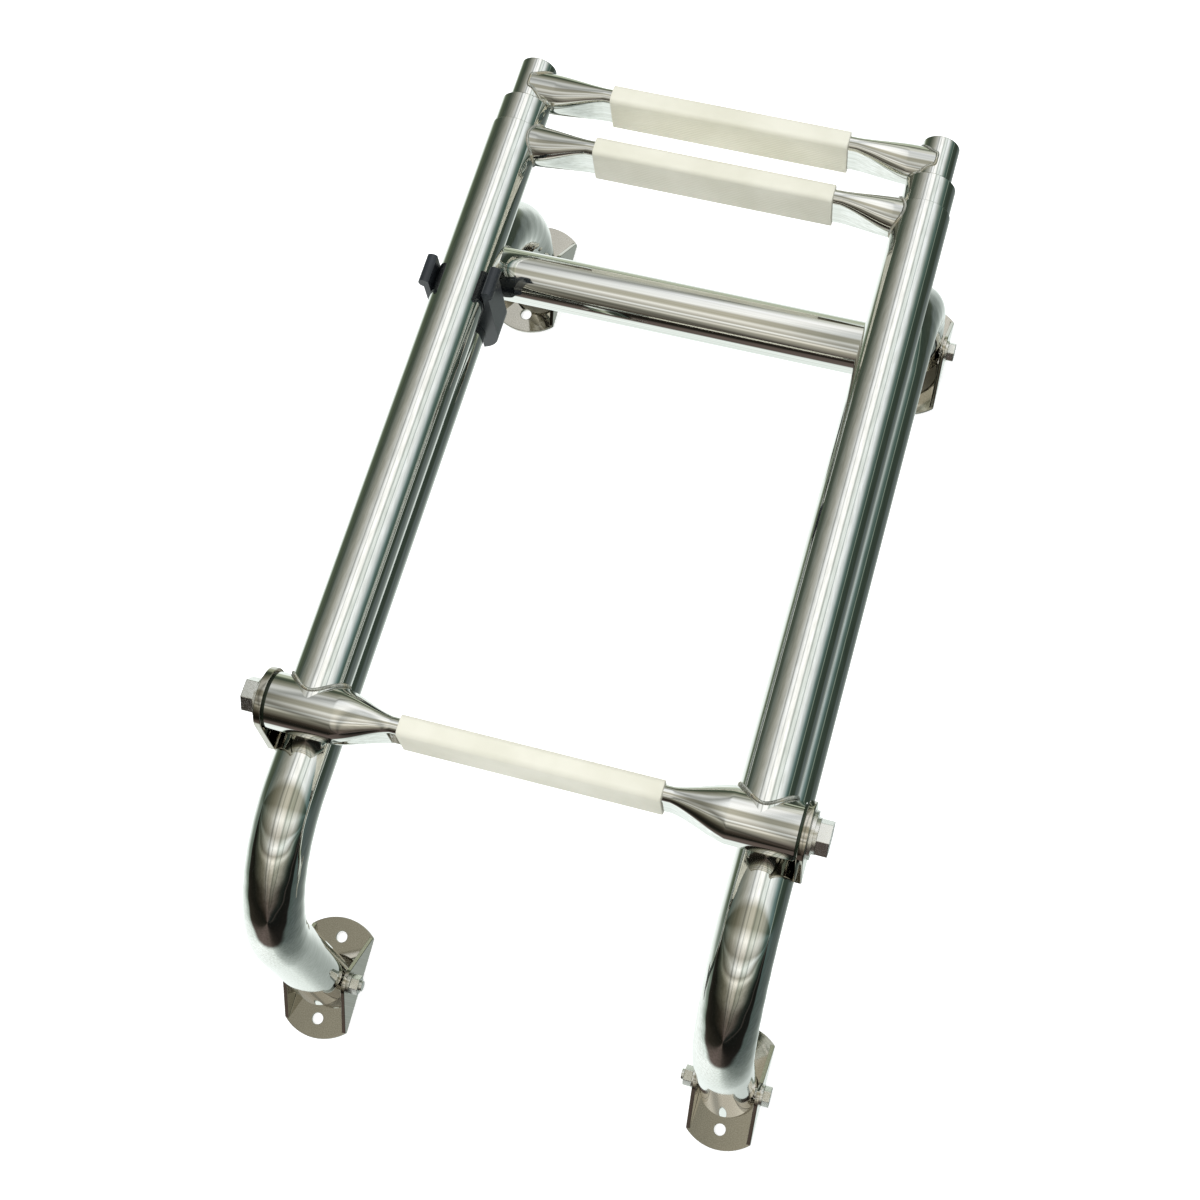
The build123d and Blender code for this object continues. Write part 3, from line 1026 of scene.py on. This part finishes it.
@dataclass
class Seams:
    """Where the welds lie on the tubes."""

    ladder: LadderFrame
    beads: WeldBeads
    mouth_y: float = 456.0
    mouth_inset: float = 0.75
    mouth_share: float = 0.45
    cross_y: float = 365.0
    cross_below: float = 0.85
    ear_half: float = 22.0
    ear_inset: float = 0.3
    ear_lift: float = 3.5
    ear_steps: int = 24
    steps: int = 72
    fill: float = 7.0

    def saddle(
        self, x: float, y: float, small: float, large: float, sign: int, h: float = 0.0
    ) -> list[Vector]:
        """Seam of a small tube that runs across into a large tube that runs along.

        Args:
            x: The large tube's place across.
            y: The small tube's place along.
            small: Radius of the tube that runs across.
            large: Radius of the tube that runs along.
            sign: Which way the small tube leaves, -1 or 1.
            h: Height of both axes.

        Returns:
            The closed seam.
        """
        points = []
        for i in range(self.steps):
            angle = 2 * pi * i / self.steps
            rise = min(small * sin(angle), large)
            reach = sqrt(max(large**2 - rise**2, 0.0))
            points.append(self.ladder.at(x + sign * reach, y + small * cos(angle), h + rise))
        return points

    def foot_of_side_tube(self, x: float) -> list[Vector]:
        """Seam of a side tube that stands on the hinge rung.

        Args:
            x: The side tube's place across.

        Returns:
            The closed seam.
        """
        radius = TUBES.side_radius
        points = []
        for i in range(self.steps):
            angle = 2 * pi * i / self.steps
            rise = radius * sin(angle)
            reach = sqrt(max(radius**2 - rise**2, 0.0) + self.fill**2)
            points.append(self.ladder.at(x + radius * cos(angle), reach, rise))
        return points

    def mouth(self, x: float) -> list[Vector]:
        """Seam round the mouth of a side tube.

        Args:
            x: The side tube's place across.

        Returns:
            The closed seam.
        """
        radius = TUBES.side_radius - self.mouth_inset
        turns = [2 * pi * i / self.steps for i in range(self.steps)]
        return [
            self.ladder.at(x + radius * cos(a), self.mouth_y, radius * sin(a)) for a in turns
        ]

    def ear_foot(self, sign: int) -> list[Vector]:
        """Seam along the foot of a hinge ear.

        Args:
            sign: Which side, -1 or 1.

        Returns:
            The open seam.
        """
        x = sign * (TUBES.base_x + TUBES.base_radius - self.ear_inset)
        row = [
            self.ear_half * (2 * i / self.ear_steps - 1) for i in range(self.ear_steps + 1)
        ]
        return [self.ladder.at(x, y, -TUBES.base_drop + self.ear_lift) for y in row]

    def dress_all(self) -> None:
        """Lay every bead."""
        signs = [side.sign for side in Side]
        side_x, small = TUBES.side_x, TUBES.rung_radius
        feet = [self.foot_of_side_tube(s * side_x) for s in signs]
        self.beads.run("weld_side_tubes", feet, True, "ladder_outer")
        second = [
            self.saddle(s * side_x, TUBES.rung_2_y, small, TUBES.side_radius, -s) for s in signs
        ]
        self.beads.run("weld_second_rung", second, True, "ladder_outer")
        mouths = [self.mouth(s * side_x) for s in signs]
        self.beads.run("weld_tube_mouths", mouths, True, "ladder_outer", self.mouth_share)
        third = [
            self.saddle(s * side_x, TUBES.rung_3_y, small, TUBES.inner_radius, -s) for s in signs
        ]
        self.beads.run("weld_third_rung", third, True, "ladder_inner")
        height = -TUBES.base_drop - self.cross_below
        cross = [
            self.saddle(
                s * TUBES.base_x, self.cross_y, TUBES.side_radius, TUBES.base_radius, -s, height
            )
            for s in signs
        ]
        self.beads.run("weld_cross_tube", cross, True, "base_frame")
        self.beads.run("weld_hinge_ears", [self.ear_foot(s) for s in signs], False, "base_frame")


# ---- formed plates and fasteners
@dataclass
class Fittings:
    """Plates, bolts, nuts and the clip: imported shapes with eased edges."""

    finishes: Finishes
    plate_edge: float = 0.5
    ear_edge: float = 0.8
    hex_edge: float = 0.5
    clip_edge: float = 0.9

    def formed(self, node: str, width_mm: float, finish: Material, body: str) -> None:
        """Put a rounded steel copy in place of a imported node."""
        dress(softened(node, width_mm), finish, body, "polished_stainless", node)

    def feet(self) -> None:
        """Dress the four swivelling feet and their bolts."""
        for side in Side:
            for level in ("lower", "upper"):
                body = f"foot_{level}_{side.word}"
                plate = f"bracket_{level}_{side.word}"
                self.formed(plate, self.plate_edge, self.finishes.upright, body)
                for stem in ("pivot_bolt", "pivot_nut"):
                    node = f"{stem}_{level}_{side.word}"
                    self.formed(node, self.hex_edge, self.finishes.bright, body)
                dress_node(f"pivot_washers_{level}_{side.word}", self.finishes.bright)
                dress_node(f"leg_plug_{level}_{side.word}", self.finishes.nylon)

    def hinges(self) -> None:
        """Dress the hinge ears, bolts, washers and bushes."""
        for side in Side:
            ear, bolt = f"hinge_ear_{side.word}", f"hinge_bolt_{side.word}"
            self.formed(ear, self.ear_edge, self.finishes.upright, "base_frame")
            self.formed(bolt, self.hex_edge, self.finishes.bright, "ladder_outer")
            dress_node(f"hinge_washers_{side.word}", self.finishes.bright)
            dress_node(f"hinge_plug_{side.word}", self.finishes.across)
            dress_node(f"hinge_bush_{side.word}", self.finishes.bush)

    def tubes(self) -> None:
        """Dress the tubes, collars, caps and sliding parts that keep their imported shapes."""
        for side in Side:
            for stem in ("outer_tube", "inner_tube", "guide_collar", "end_cap"):
                dress_node(f"{stem}_{side.word}", self.finishes.along)
            for stem in ("guide_bush", "slide_piston"):
                dress_node(f"{stem}_{side.word}", self.finishes.nylon)
        dress_node("base_cross_tube", self.finishes.across)

    def clip(self) -> None:
        """Dress the snap clip."""
        piece = softened("tube_clip", self.clip_edge, 3)
        dress(piece, self.finishes.clip, "base_frame", "black_acetal", "tube_clip")


# ---- studio
@dataclass
class Studio:
    """Pale floor, soft light and the camera."""

    camera_place: tuple[float, float, float] = (0.24781, -0.31221, 1.50279)
    camera_turn_deg: tuple[float, float, float] = (13.7266, 5.6756, 15.0053)
    lens_mm: float = 60.051
    sensor_mm: float = 36.0
    shift: tuple[float, float] = (-0.04, 0.025)
    floor_half: float = 6.0
    floor_below: float = 0.0005
    floor_glow: float = 0.55
    room_strength: float = 1.32
    fill_strength: float = 0.75
    sweep_heights: tuple[float, float] = (-0.46, -0.56)
    panel_size: float = 2.4
    panel_power: float = 34.0
    panel_place: tuple[float, float, float] = (-0.5, 0.2, 2.3)
    panel_tilt: float = -0.2

    def floor(self) -> None:
        """Lay a pale matt floor, which the polished metal doesn't mirror."""
        half, low = self.floor_half, -self.floor_below
        around = ((-half, -half), (half, -half), (half, half), (-half, half))
        corners = [Vector((x, y, low)) for x, y in around]
        piece = mesh_piece("studio_floor", corners, [(0, 1, 2, 3)])
        material, _, shader = new_material("pale_paper_sweep")
        shader.inputs["Base Color"].default_value = linear("F7F7F7")
        shader.inputs["Roughness"].default_value = 0.9
        shader.inputs["Specular IOR Level"].default_value = 0.1
        shader.inputs["Emission Color"].default_value = linear("FFFFFF")
        shader.inputs["Emission Strength"].default_value = self.floor_glow
        piece.data.materials.append(material)
        piece.visible_glossy = False

    def room(self) -> None:
        """Make the room that the metal mirrors: light panels overhead and darker walls."""
        world = bpy.data.worlds.new("studio_room")
        bpy.context.scene.world = world
        world.use_nodes = True
        tree = world.node_tree
        tree.nodes.clear()
        place = add_node(tree, "ShaderNodeTexCoord")
        direction = place.outputs["Generated"]
        axes = add_node(tree, "ShaderNodeSeparateXYZ", None, {"Vector": direction})
        walls = self.bands(tree, axes.outputs["X"], axes.outputs["Z"], self.sideways_stops())
        ends = self.bands(tree, axes.outputs["Y"], axes.outputs["Z"], self.lengthways_stops())
        both = add_node(
            tree,
            "ShaderNodeMix",
            {"data_type": "RGBA", "blend_type": "MULTIPLY", 0: 1.0},
            {6: walls.outputs["Color"], 7: ends.outputs["Color"]},
        )
        top, bottom = self.sweep_heights
        heights = {"From Min": top, "From Max": bottom}
        sweep = add_node(tree, "ShaderNodeMapRange", heights, {"Value": axes.outputs["Z"]})
        room = add_node(
            tree,
            "ShaderNodeMix",
            {"data_type": "RGBA"},
            {0: sweep.outputs["Result"], 6: both.outputs[2], 7: walls.outputs["Color"]},
        )
        kind = "ShaderNodeBackground"
        mirrored = add_node(
            tree, kind, {"Strength": self.room_strength}, {"Color": room.outputs[2]}
        )
        soft = add_node(tree, kind, {"Color": linear("F4F6F8"), "Strength": self.fill_strength})
        backdrop = add_node(tree, kind, {"Color": linear("FDFDFD"), "Strength": 1.0})
        rays = add_node(tree, "ShaderNodeLightPath")
        shown = soft
        for ray, view in (("Is Glossy Ray", mirrored), ("Is Camera Ray", backdrop)):
            links = {0: rays.outputs[ray], 1: shown.outputs[0], 2: view.outputs[0]}
            shown = add_node(tree, "ShaderNodeMixShader", None, links)
        add_node(tree, "ShaderNodeOutputWorld", None, {"Surface": shown.outputs[0]})

    @staticmethod
    def bands(
        tree: NodeTree, sideways: NodeSocket, up: NodeSocket, stops: list[tuple[float, str]]
    ) -> Node:
        """Add bands of colour that go round the room about one axis.

        Args:
            tree: The world's node tree.
            sideways: How far a direction points sideways.
            up: How far it points up.
            stops: The bands' ramp.

        Returns:
            The ramp node.
        """
        angle = add_node(tree, "ShaderNodeMath", {"operation": "ARCTAN2"}, {0: sideways, 1: up})
        span = {"From Min": -pi, "From Max": pi}
        share = add_node(tree, "ShaderNodeMapRange", span, {"Value": angle.outputs["Value"]})
        return add_ramp(tree, share.outputs["Result"], stops)

    @staticmethod
    def stop(degrees: float) -> float:
        """Ramp position of an angle from straight up."""
        return (degrees + 180) / 360

    def sideways_stops(self) -> list[tuple[float, str]]:
        """Room colours from the left floor over the ceiling to the right floor.

        Returns:
            Ramp positions with their colours.
        """
        stops = [
            (-180, "D6DEDA"), (-145, "EEF4F2"), (-128, "D8E0DC"), (-112, "788278"),
            (-95, "5C665E"), (-80, "4C5650"), (-62, "6E726A"), (-48, "86877E"),
            (-34, "A6A6A0"), (-24, "C0C2C0"), (-20, "8C8E8C"), (-14, "E4E6E8"),
            (-8, "F4F4F4"), (-5, "B4B8BA"), (-2, "F8F8F8"), (12, "FCFCFC"),
            (19, "A4ACA8"), (24, "DCE2E0"), (34, "DCE2E0"), (37, "96A0A0"),
            (40, "E8ECEC"), (52, "DCE0E2"), (62, "B4BCBC"), (74, "687C7A"),
            (86, "465C5C"), (89, "A4B0AE"), (92, "465654"), (110, "485250"),
            (135, "525A58"), (152, "6E7672"), (168, "A2AAA6"), (180, "D6DEDA"),
        ]
        return [(self.stop(angle), code) for angle, code in stops]

    def lengthways_stops(self) -> list[tuple[float, str]]:
        """Room shading from the floor near the hinge over the ceiling to the far floor.

        Returns:
            Ramp positions with their colours.
        """
        stops = [
            (-180, "FFFFFF"), (-124, "F4F8F6"), (-116, "6A5C58"), (-92, "5A4E4A"),
            (-72, "5E564E"), (-62, "8A857A"), (-50, "A8A496"), (-43, "F0ECE0"),
            (-38, "A8A498"), (-31, "FFFFFA"), (-26, "B4B0A4"), (-20, "D0CCC2"),
            (-11, "F8F6EE"), (-3, "B8B4A4"), (12, "B8B4A4"), (20, "FFFFFC"),
            (50, "FFFFFF"), (62, "DCDCD4"), (80, "D0D2C4"), (95, "BEC0AE"),
            (150, "B8BEAC"), (180, "FFFFFF"),
        ]
        return [(self.stop(angle), code) for angle, code in stops]

    def light(self) -> None:
        """Hang one large soft panel over the ladder."""
        panel = bpy.data.lights.new("overhead_softbox", "AREA")
        panel.shape = "RECTANGLE"
        panel.size = self.panel_size
        panel.size_y = self.panel_size
        panel.energy = self.panel_power
        lamp = bpy.data.objects.new("overhead_softbox", panel)
        lamp.location = self.panel_place
        lamp.rotation_euler = (0.0, self.panel_tilt, 0.0)
        lamp.visible_glossy = False
        bpy.context.scene.collection.objects.link(lamp)

    def camera(self) -> None:
        """Set the camera and the plain view transform."""
        data = bpy.data.cameras.new("camera")
        data.lens = self.lens_mm
        data.sensor_width = self.sensor_mm
        data.shift_x, data.shift_y = self.shift
        camera = bpy.data.objects.new("camera", data)
        camera.location = self.camera_place
        camera.rotation_euler = Euler([radians(angle) for angle in self.camera_turn_deg])
        bpy.context.scene.collection.objects.link(camera)
        bpy.context.scene.camera = camera
        bpy.context.scene.view_settings.view_transform = "Standard"

    def build(self) -> None:
        """Set the whole stage."""
        self.floor()
        self.room()
        self.light()
        self.camera()


def note_sizes() -> None:
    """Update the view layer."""
    bpy.context.view_layer.update()


def main() -> None:
    """Build the looks class by class."""
    logging.basicConfig(level=logging.INFO, format="%(name)s: %(message)s")
    ladder = LadderFrame.from_joints()
    finishes = Finishes(ladder.lean)
    BaseTubes(ladder, finishes.along).dress_all()
    Rungs(ladder, finishes.across).dress_all()
    Treads(ladder, finishes.tread).dress_all()
    fittings = Fittings(finishes)
    fittings.tubes()
    fittings.hinges()
    fittings.feet()
    fittings.clip()
    Seams(ladder, WeldBeads(finishes.weld)).dress_all()
    Studio().build()
    note_sizes()


if __name__ == "__main__":
    main()
